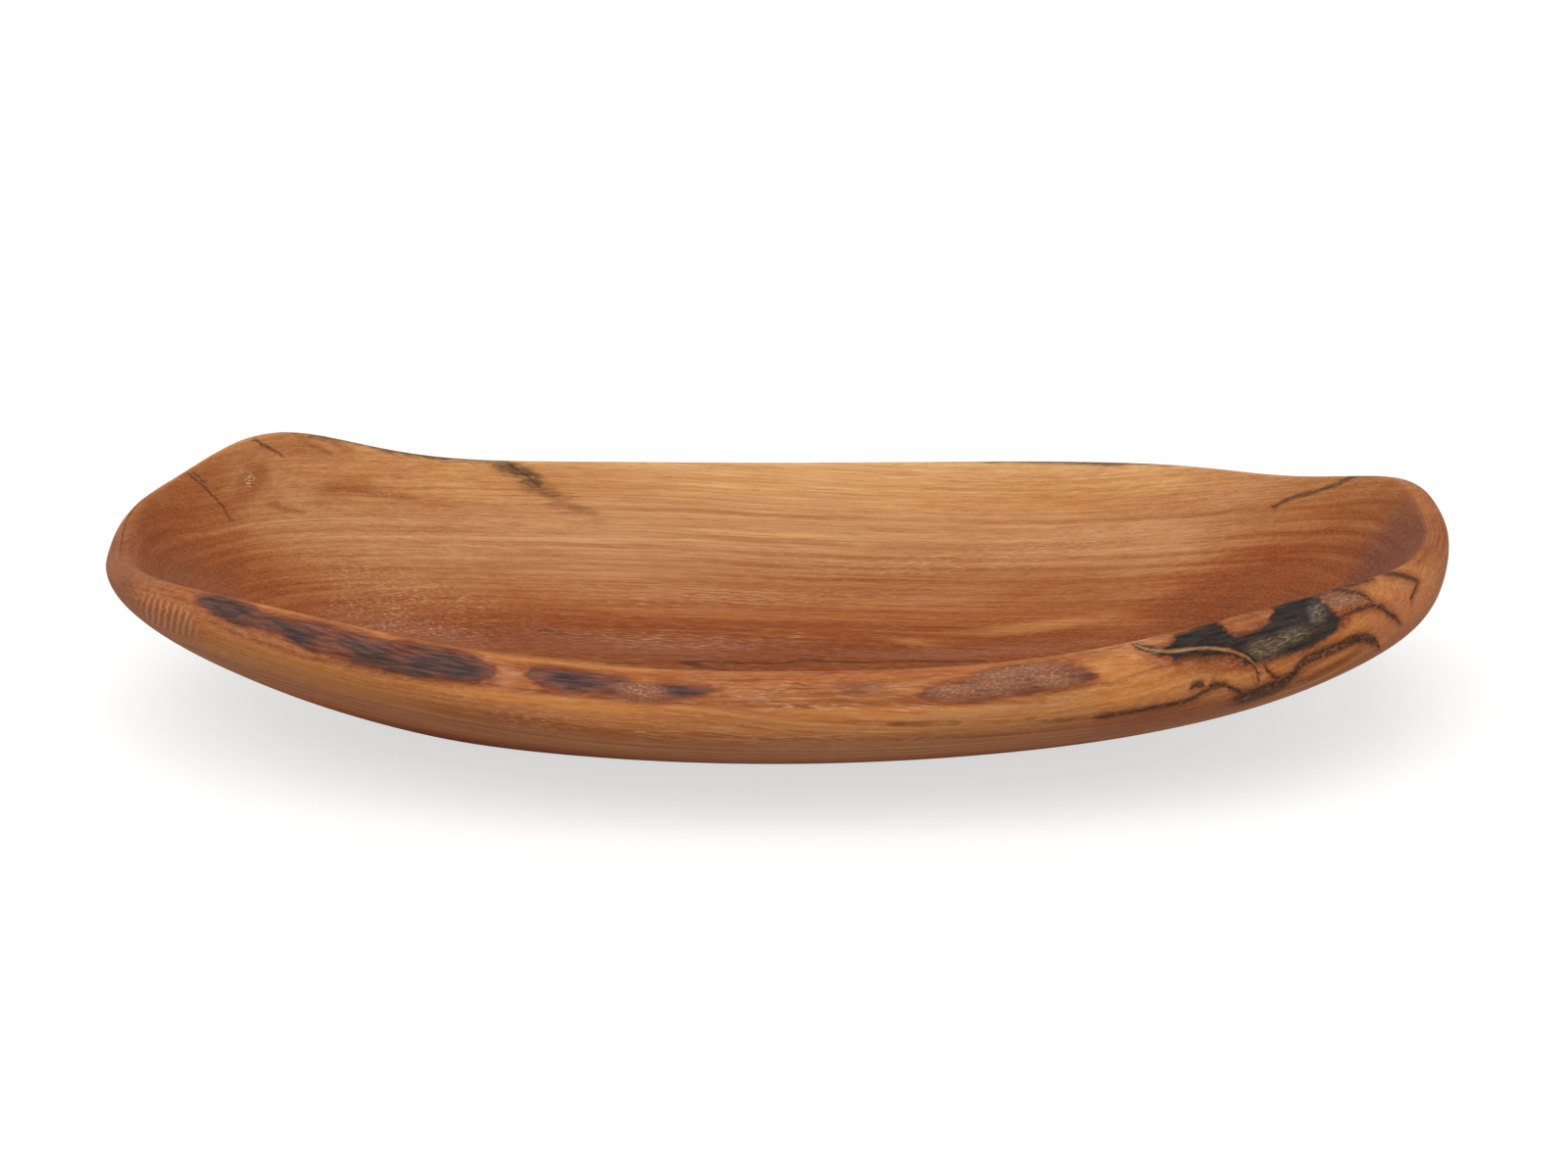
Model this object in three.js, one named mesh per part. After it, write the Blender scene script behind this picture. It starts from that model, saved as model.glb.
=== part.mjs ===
// A boat-shaped wooden bowl, carved by hand out of one piece of timber. The rim follows the
// outside of the log: it dips in the middle of the long sides, climbs to both ends, and along
// the front it keeps the log's own rounded edge.
// Millimetres, +Z up. X runs along the grain and -Y is the side with the natural edge. The
// origin is on the table, under the middle of the bowl.
import * as THREE from "three";

// Overall length and width, over the widest line of the rim.
const LENGTH = 400;
const WIDTH = 180;
// The outline lies between an ellipse, at 2, and a rectangle.
const OUTLINE_SQUARENESS = 2.4;

// The crest is the rim's top line, where the hollow begins: its height above the table in the
// middle of the long sides, and how much higher it is at the ends.
const CREST_HEIGHT = 51;
const END_RISE = 14;
// The carver's edge along the crest is broken with a small round.
const CREST_ROUND = 1.2;

// The face of the rim, from the crest out to the widest line: how wide it is, how far it falls,
// and the share of that fall that it slopes before it turns over into the belly.
const FACE_WIDTH = 6;
const FACE_FALL = 5;
const FACE_SLOPE = 0.25;

// What the log and the carver left round the rim. Each swelling has its middle at an angle, 0 at
// the right-hand end and 90 at the back, and dies away over its spread, both in degrees. It lifts
// the crest, pushes the outline out, widens or drops the face, and rounds the crest further, all
// in millimetres.
const SWELLINGS = [
  { name: "right tip", at: 5, spread: 18, out: 1, wider: 2, drop: -2.5 },
  { name: "flat beside the right tip", at: 10, spread: 8, out: -1.2 },
  { name: "back right corner", at: 18, spread: 12, lift: 4, out: 1 },
  { name: "dip before the back right corner", at: 42, spread: 9, lift: -2 },
  { name: "high corner at the back left", at: 138, spread: 12, lift: 12, out: 1, wider: -1 },
  { name: "thin wall at the back left", at: 160, spread: 14, lift: -1, wider: -4 },
  { name: "low left tip", at: 184, spread: 18, lift: -6, wider: 2, drop: -1, round: 4 },
  { name: "shoulder at the front left", at: 228, spread: 19, lift: 5, wider: 1 },
  { name: "natural edge along the front", at: 266, spread: 42, wider: 4, drop: 10 },
  { name: "bark pocket at the front right", at: 316, spread: 20, lift: 4, wider: 5, drop: 11 },
  { name: "rounded end at the front right", at: 340, spread: 12, drop: 5 },
];

// The hollow: the wood under its middle, how far out the floor stays nearly level, and how far
// the wall leans in and drops before it turns into the floor, as shares of the way.
const FLOOR_THICKNESS = 9;
const FLOOR_REACH = 0.6;
const WALL_LEAN = 0.12;
const WALL_DROP = 0.62;

// The flat oval that the bowl stands on, and how far along the bowl it sits from the middle.
const BASE_LENGTH = 224;
const BASE_WIDTH = 62;
const BASE_OFFSET = -2;

// The belly between the rim and the base: how far it drops straight before it turns in, how far
// it runs out from the base, as shares of the way, and how steeply it leaves the table.
const BELLY_DROP = 0.25;
const BELLY_REACH = 0.41;
const BELLY_DEGREES = 20;

// Ribs round the bowl, and steps along each stretch of a rib.
const RIBS = 96;
const HOLLOW_STEPS = 16;
const CREST_STEPS = 3;
const FACE_STEPS = 5;
const BELLY_STEPS = 12;
const BASE_STEPS = 2;

const WOOD_COLOUR = 0xb4743c;
const WOOD_ROUGHNESS = 0.55;

const { degToRad, radToDeg, euclideanModulo, lerp } = THREE.MathUtils;

// The sum of one field of the swellings, at an angle in degrees.
function swelling(field, degrees) {
  let sum = 0;
  for (const bump of SWELLINGS) {
    const away = euclideanModulo(degrees - bump.at + 180, 360) - 180;
    sum += (bump[field] ?? 0) * Math.exp(-((away / bump.spread) ** 2));
  }
  return sum;
}

// The outline in plan: a superellipse with its swellings, fitted to the length and the width.
function outline(angles) {
  const points = angles.map((angle) => {
    const c = Math.cos(angle);
    const s = Math.sin(angle);
    const power = OUTLINE_SQUARENESS;
    const reach = (Math.abs(c) ** power + Math.abs(s) ** power) ** (-1 / power);
    const point = new THREE.Vector2((c * reach * LENGTH) / 2, (s * reach * WIDTH) / 2);
    const outward = new THREE.Vector2(c / LENGTH, s / WIDTH).normalize();
    return point.addScaledVector(outward, swelling("out", radToDeg(angle)));
  });
  const box = new THREE.Box2().setFromPoints(points);
  const middle = box.getCenter(new THREE.Vector2());
  const fit = new THREE.Vector2(LENGTH, WIDTH).divide(box.getSize(new THREE.Vector2()));
  return points.map((point) => point.sub(middle).multiply(fit));
}

// The direction straight out of a closed outline at one of its points.
function outwardAt(points, i) {
  const before = points[(i + points.length - 1) % points.length];
  const after = points[(i + 1) % points.length];
  return new THREE.Vector2(after.y - before.y, before.x - after.x).normalize();
}

const raised = (plan, z) => new THREE.Vector3(plan.x, plan.y, z);
const between = (a, b, share) => new THREE.Vector2().lerpVectors(a, b, share);

// The hollow's section, from the middle of the floor up the wall to the crest.
function hollowCurve(crest, crestZ) {
  const middle = new THREE.Vector2(0, 0);
  return new THREE.CubicBezierCurve3(
    raised(middle, FLOOR_THICKNESS),
    raised(between(middle, crest, FLOOR_REACH), FLOOR_THICKNESS),
    raised(between(crest, middle, WALL_LEAN), lerp(crestZ, FLOOR_THICKNESS, WALL_DROP)),
    raised(crest, crestZ),
  );
}

// The rim's face, from the crest over to the widest line, where it stands upright.
function faceCurve(crest, crestZ, edge, widestZ) {
  return new THREE.QuadraticBezierCurve3(
    raised(crest, crestZ),
    raised(edge, lerp(crestZ, widestZ, FACE_SLOPE)),
    raised(edge, widestZ),
  );
}

// The belly, from the widest line down and in to the edge of the base.
function bellyCurve(edge, widestZ, foot) {
  const reach = between(foot, edge, BELLY_REACH);
  return new THREE.CubicBezierCurve3(
    raised(edge, widestZ),
    raised(edge, widestZ * (1 - BELLY_DROP)),
    raised(reach, reach.distanceTo(foot) * Math.tan(degToRad(BELLY_DEGREES))),
    raised(foot, 0),
  );
}

// The round over the crest, which starts this far down the wall and ends this far out along the
// face.
function roundedCrest(hollow, face, reach) {
  const inside = hollow.getPointAt(1 - reach / hollow.getLength());
  const outside = face.getPointAt(reach / face.getLength());
  const round = new THREE.QuadraticBezierCurve3(inside, face.getPoint(0), outside);
  return round.getPoints(CREST_STEPS);
}

// One rib: the bowl's section on one side of its middle, from the floor out over the rim and
// back under the belly to the middle of the base.
function rib(edge, outward, angle) {
  const degrees = radToDeg(angle);
  const crestZ = CREST_HEIGHT + END_RISE * Math.cos(angle) ** 2 + swelling("lift", degrees);
  const widestZ = crestZ - FACE_FALL - swelling("drop", degrees);
  const faceWidth = FACE_WIDTH + swelling("wider", degrees);
  const crest = edge.clone().addScaledVector(outward, -faceWidth);

  const baseMiddle = new THREE.Vector2(BASE_OFFSET, 0);
  const foot = new THREE.Vector2(
    BASE_OFFSET + (Math.cos(angle) * BASE_LENGTH) / 2,
    (Math.sin(angle) * BASE_WIDTH) / 2,
  );

  const hollow = hollowCurve(crest, crestZ);
  const face = faceCurve(crest, crestZ, edge, widestZ);
  const belly = bellyCurve(edge, widestZ, foot);

  const points = [];
  for (let i = 1; i < HOLLOW_STEPS; i++) points.push(hollow.getPoint(i / HOLLOW_STEPS));
  points.push(...roundedCrest(hollow, face, CREST_ROUND + swelling("round", degrees)));
  for (let i = 1; i <= FACE_STEPS; i++) points.push(face.getPoint(i / FACE_STEPS));
  for (let i = 1; i <= BELLY_STEPS; i++) points.push(belly.getPoint(i / BELLY_STEPS));
  for (let i = 1; i < BASE_STEPS; i++) {
    points.push(raised(between(foot, baseMiddle, i / BASE_STEPS), 0));
  }
  return points;
}

// One closed skin over all the ribs, with one more point in the middle of the floor and one in
// the middle of the base.
function skin(ribs) {
  const rows = ribs[0].length;
  const floorMiddle = new THREE.Vector3(0, 0, FLOOR_THICKNESS);
  const baseMiddle = new THREE.Vector3(BASE_OFFSET, 0, 0);
  const points = [floorMiddle, baseMiddle, ...ribs.flat()];
  const pointOf = (i, row) => 2 + (i % ribs.length) * rows + row;

  const triangles = [];
  for (let i = 0; i < ribs.length; i++) {
    triangles.push(0, pointOf(i, 0), pointOf(i + 1, 0));
    for (let row = 0; row + 1 < rows; row++) {
      const here = pointOf(i, row);
      const nextRib = pointOf(i + 1, row);
      const nextRow = pointOf(i, row + 1);
      const nextBoth = pointOf(i + 1, row + 1);
      triangles.push(here, nextRow, nextRib);
      triangles.push(nextRib, nextRow, nextBoth);
    }
    triangles.push(1, pointOf(i + 1, rows - 1), pointOf(i, rows - 1));
  }

  const geometry = new THREE.BufferGeometry().setFromPoints(points);
  geometry.setIndex(triangles);
  geometry.computeVertexNormals();
  return geometry;
}

function carvedBowl() {
  const angles = Array.from({ length: RIBS }, (_, i) => (2 * Math.PI * i) / RIBS);
  const edges = outline(angles);
  const ribs = edges.map((edge, i) => rib(edge, outwardAt(edges, i), angles[i]));
  const material = new THREE.MeshStandardMaterial({
    color: WOOD_COLOUR,
    roughness: WOOD_ROUGHNESS,
    metalness: 0,
  });
  const mesh = new THREE.Mesh(skin(ribs), material);
  mesh.name = "carved_bowl";
  return mesh;
}

const bowl = new THREE.Group();
bowl.add(carvedBowl());

export default bowl;
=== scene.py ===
# %% [markdown]
# # A carved wooden bowl
# This lesson dresses one carved bowl. The real bowl is a single piece of timber, cut from the
# outside of a log: its front rim still has the log's own rounded edge. There are no pieces to
# put together, so all the work goes into the surface and into the wood.
# Everything is in metres, in the frame of the model that is loaded first. X runs along the
# grain, -Y is the side with the natural edge, and Z is up.

# %% Load the model
import math

import bmesh
import bpy
import numpy as np
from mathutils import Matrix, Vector


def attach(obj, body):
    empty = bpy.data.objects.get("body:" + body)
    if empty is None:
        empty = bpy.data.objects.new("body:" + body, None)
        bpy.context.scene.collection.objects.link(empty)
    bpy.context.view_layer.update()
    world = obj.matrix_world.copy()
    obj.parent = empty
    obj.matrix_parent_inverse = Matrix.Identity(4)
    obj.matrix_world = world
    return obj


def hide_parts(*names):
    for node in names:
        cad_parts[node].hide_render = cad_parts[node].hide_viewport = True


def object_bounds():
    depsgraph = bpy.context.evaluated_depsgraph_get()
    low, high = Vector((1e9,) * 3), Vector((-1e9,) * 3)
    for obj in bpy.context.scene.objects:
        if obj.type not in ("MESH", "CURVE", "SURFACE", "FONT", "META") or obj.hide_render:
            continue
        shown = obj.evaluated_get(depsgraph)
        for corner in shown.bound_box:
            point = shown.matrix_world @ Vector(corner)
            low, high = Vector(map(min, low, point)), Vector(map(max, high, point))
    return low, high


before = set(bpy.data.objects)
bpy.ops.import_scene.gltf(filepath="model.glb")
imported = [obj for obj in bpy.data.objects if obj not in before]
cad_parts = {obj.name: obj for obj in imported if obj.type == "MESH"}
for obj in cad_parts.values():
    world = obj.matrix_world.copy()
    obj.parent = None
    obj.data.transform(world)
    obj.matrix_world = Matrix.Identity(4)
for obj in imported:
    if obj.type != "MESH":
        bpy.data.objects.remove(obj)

MM = 0.001
cad_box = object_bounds()
print("model box in mm:", [[round(v / MM, 1) for v in corner] for corner in cad_box])

# %% [markdown]
# ## The camera
# The bowl was seen from its front, a little from above, through a long lens. The long lens
# keeps the two ends at nearly the same size. The camera looks at a point 43 mm above the table.

# %% Place the camera
CAMERA_ELEVATION = 22.5
CAMERA_DISTANCE = 1.307
CAMERA_TARGET = Vector((0.002, 0, 0.043))

camera_data = bpy.data.cameras.new("camera")
camera_data.lens = 100
camera_data.sensor_width = 36
camera = bpy.data.objects.new("camera", camera_data)
bpy.context.collection.objects.link(camera)
tilt = math.radians(CAMERA_ELEVATION)
camera.location = CAMERA_TARGET + CAMERA_DISTANCE * Vector((0, -math.cos(tilt), math.sin(tilt)))
camera.rotation_euler = (math.pi / 2 - tilt, 0, 0)
bpy.context.scene.camera = camera
print("camera at", [round(v, 3) for v in camera.location])

# %% [markdown]
# ## Floor and light
# A plain white floor and soft light from above the front let the wood's own colours show, and a
# low softbox in front reaches the belly. The floor adds a little glow of its own, for the camera
# and for what it sees in gloss, so it comes out white while it still takes the bowl's shadow.
# The lamps and the sky together light the wood at a level of about one, at which a colour
# renders as it is written.

# %% Helpers for node trees
def link_or_set(tree, socket, value):
    """Joins a socket to another, or writes a number, a colour or a vector into it."""
    if isinstance(value, bpy.types.NodeSocket):
        tree.links.new(value, socket)
    else:
        socket.default_value = value


class Nodes:
    """Adds nodes to one tree. Where a method takes a value, it may be a socket or a number."""

    def __init__(self, tree):
        self.tree = tree

    def add(self, kind, values=(), **settings):
        node = self.tree.nodes.new(kind)
        for name, value in settings.items():
            setattr(node, name, value)
        for key, value in dict(values).items():
            link_or_set(self.tree, node.inputs[key], value)
        return node

    def math(self, operation, a, b=0.0):
        return self.add("ShaderNodeMath", {0: a, 1: b}, operation=operation).outputs[0]

    def chain(self, operation, values):
        """Several values joined by one operation, from left to right."""
        result, *others = values
        for other in others:
            result = self.math(operation, result, other)
        return result

    def times(self, *values):
        """The values multiplied together. Of masks, this is where all of them are on."""
        return self.chain("MULTIPLY", values)

    def total(self, *values):
        return self.chain("ADD", values)

    def minus(self, a, b):
        return self.math("SUBTRACT", a, b)

    def most(self, *values):
        """The largest of the values. Of masks, this is where any of them is on."""
        return self.chain("MAXIMUM", values)

    def seen_rays(self):
        """1 for the camera and for what it sees in gloss or through glass, 0 for light."""
        path = self.add("ShaderNodeLightPath").outputs
        return self.most(path["Is Camera Ray"], path["Is Glossy Ray"], path["Is Transmission Ray"])


print("helpers:", *[name for name in vars(Nodes) if name[0] != "_"])

# %% Make the floor
FLOOR_SIZE = 12.0
FLOOR_GLOW = 0.63
PAPER_TONE = (0.46, 0.46, 0.46, 1)

floor_mesh = bpy.data.meshes.new("floor")
half = FLOOR_SIZE / 2
floor_mesh.from_pydata([(-half, -half, 0), (half, -half, 0), (half, half, 0), (-half, half, 0)],
                       [], [(0, 1, 2, 3)])
floor = bpy.data.objects.new("floor", floor_mesh)
bpy.context.collection.objects.link(floor)

paper = bpy.data.materials.new("white_paper")
paper.use_nodes = True
paper.node_tree.nodes.clear()
nodes = Nodes(paper.node_tree)
diffuse = nodes.add("ShaderNodeBsdfDiffuse", {"Color": PAPER_TONE})
glow_level = nodes.times(nodes.seen_rays(), FLOOR_GLOW)
glow = nodes.add("ShaderNodeEmission", {"Strength": glow_level})
both = nodes.add("ShaderNodeAddShader", {0: diffuse.outputs[0], 1: glow.outputs[0]})
nodes.add("ShaderNodeOutputMaterial", {"Surface": both.outputs[0]})
floor_mesh.materials.append(paper)
print("floor:", FLOOR_SIZE, "m square, glow", FLOOR_GLOW)

# %% Light the scene
SKY_LEVEL = 0.45
# How wide each softbox stands in the sky, in degrees.
SOFTBOX_WIDTH = 50
# Where each softbox shines from, and how much light it gives.
SOFTBOXES = {"main_softbox": ((-0.15, -0.6, 1.2), 0.52), "low_softbox": ((0, -1.2, 0.3), 0.22)}

world = bpy.data.worlds.new("studio")
bpy.context.scene.world = world
world.use_nodes = True
world.node_tree.nodes.clear()
nodes = Nodes(world.node_tree)
level = nodes.total(nodes.times(nodes.seen_rays(), 1 - SKY_LEVEL), SKY_LEVEL)
sky = nodes.add("ShaderNodeBackground", {"Color": (1, 1, 1, 1), "Strength": level})
nodes.add("ShaderNodeOutputWorld", {"Surface": sky.outputs[0]})

# A lamp far away lights the bowl and the floor evenly, as wide in the sky as a softbox.
for name, (source, power) in SOFTBOXES.items():
    lamp_data = bpy.data.lights.new(name, "SUN")
    lamp_data.angle = math.radians(SOFTBOX_WIDTH)
    lamp_data.energy = power * math.pi
    lamp = bpy.data.objects.new(name, lamp_data)
    bpy.context.collection.objects.link(lamp)
    lamp.location = source
    lamp.rotation_euler = Vector(source).to_track_quat("Z", "Y").to_euler()
bpy.context.scene.view_settings.view_transform = "Standard"
print("light: the sky at", SKY_LEVEL, "of full light, and", len(SOFTBOXES), "softboxes")

# %% [markdown]
# ## The bowl's surface
# The model's skin is a net of ribs. A copy of it is welded, and its triangles are paired into
# faces with four sides. A Geometry Nodes tree then rounds it by subdivision and lays the
# carver's faint ripples over it. The tree is the right tool because the ripples follow one rule
# all over the surface, and their height and length stay inputs that can be changed.

# %% Weld a copy of the model's skin
WELD_WITHIN = 0.001 * MM

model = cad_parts["carved_bowl"]
bowl_mesh = model.data.copy()
bowl_mesh.name = "bowl"
bowl_mesh.transform(model.matrix_world)
shape = bmesh.new()
shape.from_mesh(bowl_mesh)
bmesh.ops.remove_doubles(shape, verts=shape.verts, dist=WELD_WITHIN)
bmesh.ops.join_triangles(shape, faces=shape.faces, angle_face_threshold=math.pi,
                         angle_shape_threshold=math.pi)
shape.to_mesh(bowl_mesh)
shape.free()
bowl_mesh.materials.clear()
sides = [len(face.vertices) for face in bowl_mesh.polygons]
print("welded skin:", len(bowl_mesh.vertices), "points,", sides.count(4), "quads,",
      sides.count(3), "triangles")

# %% Helpers for places and patterns
class PlaceNodes(Nodes):
    """Also adds what works on places: vectors, noise and a smooth step between two values."""

    def vector(self, operation, a, b):
        return self.add("ShaderNodeVectorMath", {0: a, 1: b}, operation=operation).outputs[0]

    def split(self, vector):
        return self.add("ShaderNodeSeparateXYZ", {0: vector}).outputs

    def join(self, x, y, z):
        return self.add("ShaderNodeCombineXYZ", {0: x, 1: y, 2: z}).outputs[0]

    def noise(self, vector, detail=2.0, scale=1.0):
        values = {"Vector": vector, "Scale": scale, "Detail": detail}
        return self.add("ShaderNodeTexNoise", values).outputs["Fac"]

    def step(self, value, start, end, low=0.0, high=1.0):
        """Goes smoothly from low to high while value goes from start to end."""
        values = {0: value, 1: start, 2: end, 3: low, 4: high}
        return self.add("ShaderNodeMapRange", values, interpolation_type="SMOOTHSTEP").outputs[0]


print("more helpers:", *[name for name in vars(PlaceNodes) if name[0] != "_"])

# %% Round the skin and add the carver's ripples
CARVING = {"Subdivisions": 2, "Ripple height": 0.5 * MM, "Ripples per metre": 28.0}
# The ripples are about twice as long along the grain as across it.
RIPPLE_STRETCH = (0.45, 1, 1)
# They fade in between these heights, so the base stays flat.
RIPPLES_START = 0.2 * MM
RIPPLES_FULL = 4 * MM

bowl = bpy.data.objects.new("carved_timber", bowl_mesh)
bpy.context.collection.objects.link(bowl)
wood = bpy.data.materials.new("carved_fruitwood")
wood.use_nodes = True


def carving_tree():
    """Subdivides the skin, ripples it along its normals and gives it its wood."""
    tree = bpy.data.node_groups.new("carver's ripples", "GeometryNodeTree")
    sockets = tree.interface
    kinds = {int: "NodeSocketInt", float: "NodeSocketFloat"}
    sockets.new_socket("Skin", in_out="INPUT", socket_type="NodeSocketGeometry")
    for name, value in CARVING.items():
        made = sockets.new_socket(name, in_out="INPUT", socket_type=kinds[type(value)])
        made.default_value = value
    sockets.new_socket("Wood", in_out="INPUT", socket_type="NodeSocketMaterial")
    sockets.new_socket("Skin", in_out="OUTPUT", socket_type="NodeSocketGeometry")
    nodes = PlaceNodes(tree)
    given = nodes.add("NodeGroupInput").outputs
    smooth = nodes.add("GeometryNodeSubdivisionSurface",
                       {"Mesh": given["Skin"], "Level": given["Subdivisions"]})
    place = nodes.add("GeometryNodeInputPosition").outputs[0]
    stretched = nodes.vector("MULTIPLY", place, RIPPLE_STRETCH)
    wave = nodes.noise(stretched, detail=1.0, scale=given["Ripples per metre"])
    above_base = nodes.step(nodes.split(place)[2], RIPPLES_START, RIPPLES_FULL)
    height = nodes.times(nodes.minus(wave, 0.5), given["Ripple height"], above_base)
    normal = nodes.add("GeometryNodeInputNormal").outputs[0]
    offset = nodes.add("ShaderNodeVectorMath", {0: normal, "Scale": height}, operation="SCALE")
    moved = nodes.add("GeometryNodeSetPosition",
                      {"Geometry": smooth.outputs[0], "Offset": offset.outputs[0]})
    shaded = nodes.add("GeometryNodeSetShadeSmooth", {"Geometry": moved.outputs[0]})
    real = nodes.add("GeometryNodeRealizeInstances", {"Geometry": shaded.outputs[0]})
    dressed = nodes.add("GeometryNodeSetMaterial",
                        {"Geometry": real.outputs[0], "Material": given["Wood"]})
    nodes.add("NodeGroupOutput", {"Skin": dressed.outputs[0]})
    return tree


def made_plain(piece, tree, values):
    """Runs a Geometry Nodes tree on a piece and keeps the result as its plain mesh."""
    modifier = piece.modifiers.new("nodes", "NODES")
    modifier.node_group = tree
    for socket in tree.interface.items_tree:
        if socket.name in values and socket.in_out == "INPUT":
            modifier[socket.identifier] = values[socket.name]
    evaluated = piece.evaluated_get(bpy.context.evaluated_depsgraph_get())
    result = bpy.data.meshes.new_from_object(evaluated)
    piece.modifiers.clear()
    piece.data = result
    result.name = piece.name
    return result


surface = made_plain(bowl, carving_tree(), {"Wood": wood, **CARVING})
print("bowl:", len(surface.vertices), "points,",
      sum(len(face.vertices) - 2 for face in surface.polygons), "triangles")

# %% [markdown]
# ## How far from the crest?
# Most of what makes this bowl its own lies along the rim: the bark, the dark stains, the seams.
# They are easy to place once every point knows how far it is from the crest, the line where the
# hollow meets the rim. That distance is kept on the mesh as an attribute, in millimetres, less
# than zero in the hollow and more than zero outside. The crest itself is the highest point in
# each of 96 directions, looked up on the rounded skin, whose points lie close enough for that.

# %% Measure the distance from the crest
CREST_DIRECTIONS = 96


def positions(mesh):
    flat = np.empty(len(mesh.vertices) * 3)
    mesh.vertices.foreach_get("co", flat)
    return flat.reshape(-1, 3)


def keep(mesh, name, values):
    """Keeps a number on each point of the mesh, under a name that the wood can read."""
    mesh.attributes.new(name, "FLOAT", "POINT").data.foreach_set("value", values)


def crest_line(points):
    """The highest point in each direction from the middle, in order round the bowl."""
    stretched = np.arctan2(points[:, 1] / (cad_box[1][1] - cad_box[0][1]),
                           points[:, 0] / (cad_box[1][0] - cad_box[0][0]))
    sector = np.round(stretched / (2 * math.pi) * CREST_DIRECTIONS).astype(int) % CREST_DIRECTIONS
    line = np.array([points[sector == i][points[sector == i][:, 2].argmax()]
                     for i in range(CREST_DIRECTIONS)])
    return (np.roll(line, 1, axis=0) + 2 * line + np.roll(line, -1, axis=0)) / 4


def mark_crest_distance(mesh, crest):
    """Writes the distance from the crest line to each point, negative inside the hollow."""
    points = positions(mesh)
    normals = np.empty(len(mesh.vertices) * 3)
    mesh.vertices.foreach_get("normal", normals)
    nearest = np.full(len(points), np.inf)
    for start, end in zip(crest, np.roll(crest, -1, axis=0)):
        along = end - start
        share = np.clip((points - start) @ along / (along @ along), 0, 1)
        gap = np.linalg.norm(points - start - share[:, None] * along, axis=1)
        nearest = np.minimum(nearest, gap)
    turn = np.arctan2(points[:, 1], points[:, 0])
    crest_turn = np.arctan2(crest[:, 1], crest[:, 0])
    crest_reach = np.interp(turn, crest_turn, np.hypot(crest[:, 0], crest[:, 1]),
                            period=2 * math.pi)
    hollow = (np.hypot(points[:, 0], points[:, 1]) < crest_reach) & (normals[2::3] > 0)
    distance = np.where(hollow, -nearest, nearest) / MM
    keep(mesh, "from_crest", distance)
    return distance


crest = crest_line(positions(surface))
distance = mark_crest_distance(surface, crest)
print("crest from", round(crest[:, 2].min() / MM, 1), "to", round(crest[:, 2].max() / MM, 1),
      "mm high; the hollow is up to", round(-distance.min(), 1), "mm from it")

# %% [markdown]
# ## Reading the wood
# A tree grows in rings round its middle. This bowl was cut from one side of a log whose middle
# ran about 50 mm under the table, and the log bends a little along its length. With that rule,
# any point of the bowl knows which ring it lies in, inside and outside alike, so the lines run
# on over the rim as they do in real wood. A node group works this out once.

# %% Helpers for curves and colours
class WoodNodes(PlaceNodes):
    """Also adds curves, and ramps and mixes of colours."""

    def profile(self, across, points):
        """A smooth curve through points of (place, value): its value at the place across."""
        places, values = zip(*points)
        low, high = min(values), max(values)
        share = self.add("ShaderNodeMapRange", {0: across, 1: places[0], 2: places[-1]}).outputs[0]
        node = self.add("ShaderNodeFloatCurve", {"Value": share})
        curve = node.mapping.curves[0]
        scaled = [((place - places[0]) / (places[-1] - places[0]), (value - low) / (high - low))
                  for place, value in points]
        curve.points[0].location = scaled[0]
        curve.points[1].location = scaled[-1]
        for place, value in scaled[1:-1]:
            curve.points.new(place, value)
        for point in curve.points:
            point.handle_type = "AUTO_CLAMPED"
        node.mapping.update()
        return self.total(self.times(node.outputs[0], high - low), low)

    def ramp(self, value, stops):
        """A colour for each value, smooth between the stops (value, colour)."""
        first, last = stops[0][0], stops[-1][0]
        share = self.add("ShaderNodeMapRange", {0: value, 1: first, 2: last}).outputs[0]
        node = self.add("ShaderNodeValToRGB", {"Fac": share})
        elements = node.color_ramp.elements
        while len(elements) < len(stops):
            elements.new(0.5)
        for element, (place, colour) in zip(elements, stops):
            element.position = (place - first) / (last - first)
            element.color = colour
        return node.outputs["Color"]

    def mix(self, factor, a, b, blend="MIX"):
        node = self.add("ShaderNodeMix", data_type="RGBA", blend_type=blend)
        for index, value in ((0, factor), (6, a), (7, b)):
            link_or_set(self.tree, node.inputs[index], value)
        return node.outputs[2]


print("more helpers:", *[name for name in vars(WoodNodes) if name[0] != "_"])

# %% The grain's own directions
PITH_BELOW = 50
PITH_BEHIND = -5
LOG_BEND = [(-200, 10), (-182, 9.5), (-170, 7.5), (-160, 5), (-145, 3), (-120, 1), (-90, -1),
            (-50, -2.0), (0, 0), (50, 2.6), (100, 4.5), (150, 4.6), (200, 1.5)]


def new_group(name, inputs, outputs):
    """An empty shader group with named sockets: the helper that fills it and its inputs."""
    tree = bpy.data.node_groups.new(name, "ShaderNodeTree")
    kinds = {float: "NodeSocketFloat", tuple: "NodeSocketVector"}
    for socket, value in inputs.items():
        made = tree.interface.new_socket(socket, in_out="INPUT", socket_type=kinds[type(value)])
        made.default_value = value
    for socket, kind in outputs.items():
        tree.interface.new_socket(socket, in_out="OUTPUT", socket_type=kinds[kind])
    nodes = WoodNodes(tree)
    return nodes, nodes.add("NodeGroupInput").outputs


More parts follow.
